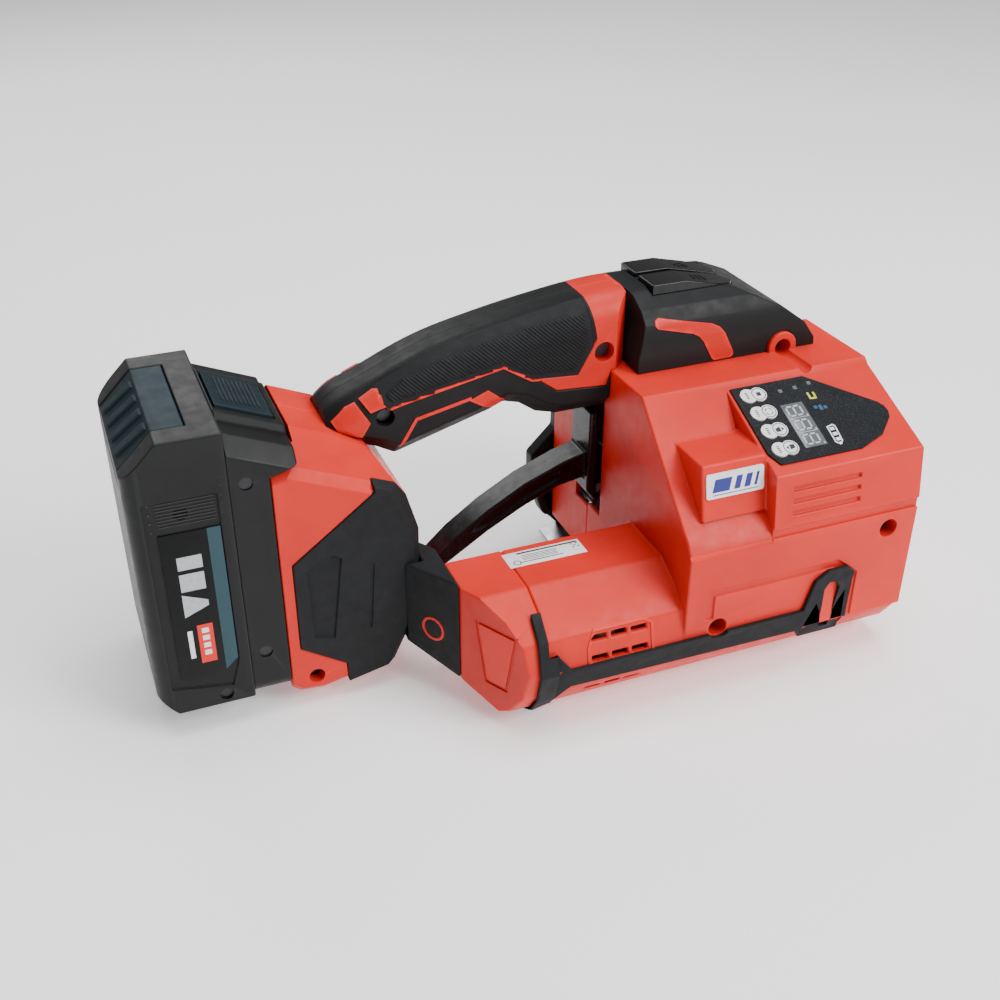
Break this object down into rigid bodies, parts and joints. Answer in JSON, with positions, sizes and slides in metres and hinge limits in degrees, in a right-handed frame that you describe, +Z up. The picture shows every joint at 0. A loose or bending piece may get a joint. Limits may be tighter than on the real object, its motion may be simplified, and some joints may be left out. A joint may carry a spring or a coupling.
{
  "type": "battery strapping tool",
  "caption": "Hand-held battery strapping tool with arched handle, motor barrel, tension wheel, friction weld head, display panel and slide-on battery pack.",
  "frame": {"origin": "underside of the base plate, below the axis of the tension wheel and the drive shaft", "axes": "+X runs from the battery to the working head, +Y from the operator's side to the strap side, +Z up"},
  "size_m": [0.3005, 0.1379, 0.1484],
  "materials": {
    "red_plastic": "satin",
    "black_plastic": "satin",
    "soft_grip": "matte",
    "battery_case": "satin",
    "slate_plastic": "satin",
    "gloss_black": "gloss",
    "display_film": "fine speckle",
    "key_white": "satin",
    "label_white": "gloss",
    "circuit_board": "satin",
    "steel": "ground",
    "hardened_steel": "hardened",
    "aluminium": "cast",
    "brass": "bright",
    "copper_winding": "enamelled",
    "cell_wrap": "shrink film",
    "belt_rubber": "matte"
  },
  "bodies": {
    "housing": {"receiver_near_shell": "red_plastic", "receiver_far_shell": "red_plastic", "receiver_pad_near": "soft_grip", "receiver_pad_far": "soft_grip", "terminal_block": "gloss_black", "grip_insert_near": "soft_grip", "grip_insert_far": "soft_grip", "handle_near_shell": "black_plastic", "handle_far_shell": "black_plastic", "handle_collar_near": "red_plastic", "handle_collar_far": "red_plastic", "head_near_shell": "red_plastic", "head_far_shell": "red_plastic", "barrel_cap": "red_plastic", "arm_cover": "soft_grip", "rubber_bumper": "soft_grip", "top_cover": "black_plastic", "tension_button_spring": "steel", "weld_button_spring": "steel", "switch_board": "circuit_board", "display_overlay": "display_film", "display_board": "circuit_board", "name_plate": "label_white", "base_plate": "steel", "tooth_plate": "hardened_steel", "strap_guides": "hardened_steel", "gear_housing": "aluminium", "side_cover": "black_plastic", "tension_motor": "steel", "shaft_bearings": "steel", "rocker_spring": "steel", "weld_motor": "steel", "weld_belt": "belt_rubber", "weld_anvil": "hardened_steel", "control_board": "circuit_board", "pivot_pins": "steel", "housing_screws": "brass"},
    "battery": {"battery_lower_shell": "battery_case", "battery_upper_shell": "battery_case", "battery_end_panel": "slate_plastic", "battery_latch_spring": "steel", "battery_cells": "cell_wrap", "battery_terminals": "brass", "battery_screws": "hardened_steel"},
    "battery_release": {"battery_release_button": "slate_plastic"},
    "tension_button": {"tension_button": "gloss_black"},
    "weld_button": {"weld_button": "gloss_black"},
    "mode_key": {"mode_key": "key_white"},
    "set_key": {"set_key": "key_white"},
    "plus_key": {"plus_key": "key_white"},
    "minus_key": {"minus_key": "key_white"},
    "motor_rotor": {"tension_rotor": "copper_winding"},
    "drive_shaft": {"drive_shaft": "steel"},
    "tension_wheel": {"tension_wheel": "hardened_steel"},
    "rocker": {"rocker_arm": "aluminium"},
    "lever": {"lever": "gloss_black"},
    "weld_rotor": {"weld_rotor": "copper_winding"},
    "eccentric": {"eccentric_shaft": "steel"},
    "weld_shoe": {"weld_shoe": "hardened_steel"},
    "cutter": {"cutter": "hardened_steel"}
  },
  "joints": [
    {"name": "battery_slide", "type": "slide", "parent": "housing", "child": "battery", "axis": [0, 0, 1], "range_m": [0, 0.115]},
    {"name": "release_press", "type": "slide", "parent": "battery", "child": "battery_release", "axis": [0, 0, -1], "range_m": [0, 0.004], "stiffness_N_per_m": 900, "springref_m": -0.002, "deforming": ["battery_latch_spring"]},
    {"name": "tension_press", "type": "slide", "parent": "housing", "child": "tension_button", "axis": [0, 0, -1], "range_m": [0, 0.0025], "stiffness_N_per_m": 900, "springref_m": -0.0015, "deforming": ["tension_button_spring"]},
    {"name": "weld_press", "type": "slide", "parent": "housing", "child": "weld_button", "axis": [0, 0, -1], "range_m": [0, 0.0025], "stiffness_N_per_m": 900, "springref_m": -0.0015, "deforming": ["weld_button_spring"]},
    {"name": "mode_key_press", "type": "slide", "parent": "housing", "child": "mode_key", "axis": [0, 0.4031, -0.9152], "range_m": [0, 0.0003], "stiffness_N_per_m": 3000, "springref_m": -0.0003},
    {"name": "set_key_press", "type": "slide", "parent": "housing", "child": "set_key", "axis": [0, 0.4031, -0.9152], "range_m": [0, 0.0003], "stiffness_N_per_m": 3000, "springref_m": -0.0003},
    {"name": "plus_key_press", "type": "slide", "parent": "housing", "child": "plus_key", "axis": [0, 0.4031, -0.9152], "range_m": [0, 0.0003], "stiffness_N_per_m": 3000, "springref_m": -0.0003},
    {"name": "minus_key_press", "type": "slide", "parent": "housing", "child": "minus_key", "axis": [0, 0.4031, -0.9152], "range_m": [0, 0.0003], "stiffness_N_per_m": 3000, "springref_m": -0.0003},
    {"name": "lever_pull", "type": "hinge", "parent": "housing", "child": "lever", "pos_m": [-0.048, 0, 0.066], "axis": [0, 1, 0], "range_deg": [0, 25], "stiffness_Nm_per_rad": 1.2, "springref_deg": -20.05},
    {"name": "rocker_lift", "type": "hinge", "parent": "housing", "child": "rocker", "pos_m": [-0.04, 0.024, 0.029], "axis": [0, 1, 0], "range_deg": [-4.5, 0], "deforming": ["rocker_spring"]},
    {"name": "drive_spin", "type": "hinge", "parent": "housing", "child": "drive_shaft", "pos_m": [0, -0.05, 0.029], "axis": [0, 1, 0], "continuous": true},
    {"name": "motor_spin", "type": "hinge", "parent": "housing", "child": "motor_rotor", "pos_m": [-0.08, -0.061, 0.029], "axis": [1, 0, 0], "continuous": true},
    {"name": "wheel_spin", "type": "hinge", "parent": "rocker", "child": "tension_wheel", "pos_m": [0, 0.024, 0.029], "axis": [0, 1, 0], "continuous": true},
    {"name": "weld_motor_spin", "type": "hinge", "parent": "housing", "child": "weld_rotor", "pos_m": [0, -0.032, 0.078], "axis": [1, 0, 0], "continuous": true},
    {"name": "eccentric_spin", "type": "hinge", "parent": "housing", "child": "eccentric", "pos_m": [0.027, 0.024, 0.042], "axis": [1, 0, 0], "continuous": true},
    {"name": "shoe_rub", "type": "slide", "parent": "housing", "child": "weld_shoe", "axis": [0, 1, 0], "range_m": [-0.0012, 0.0012]},
    {"name": "cutter_drop", "type": "slide", "parent": "housing", "child": "cutter", "axis": [0, 0, -1], "range_m": [0, 0.003], "stiffness_N_per_m": 800, "springref_m": -0.002}
  ],
  "couplings": [
    {"joint": "rocker_lift", "follows": "lever_pull", "ratio": -0.18},
    {"joint": "motor_spin", "follows": "drive_spin", "ratio": 2},
    {"joint": "wheel_spin", "follows": "drive_spin", "ratio": 1},
    {"joint": "eccentric_spin", "follows": "weld_motor_spin", "ratio": 1}
  ]
}
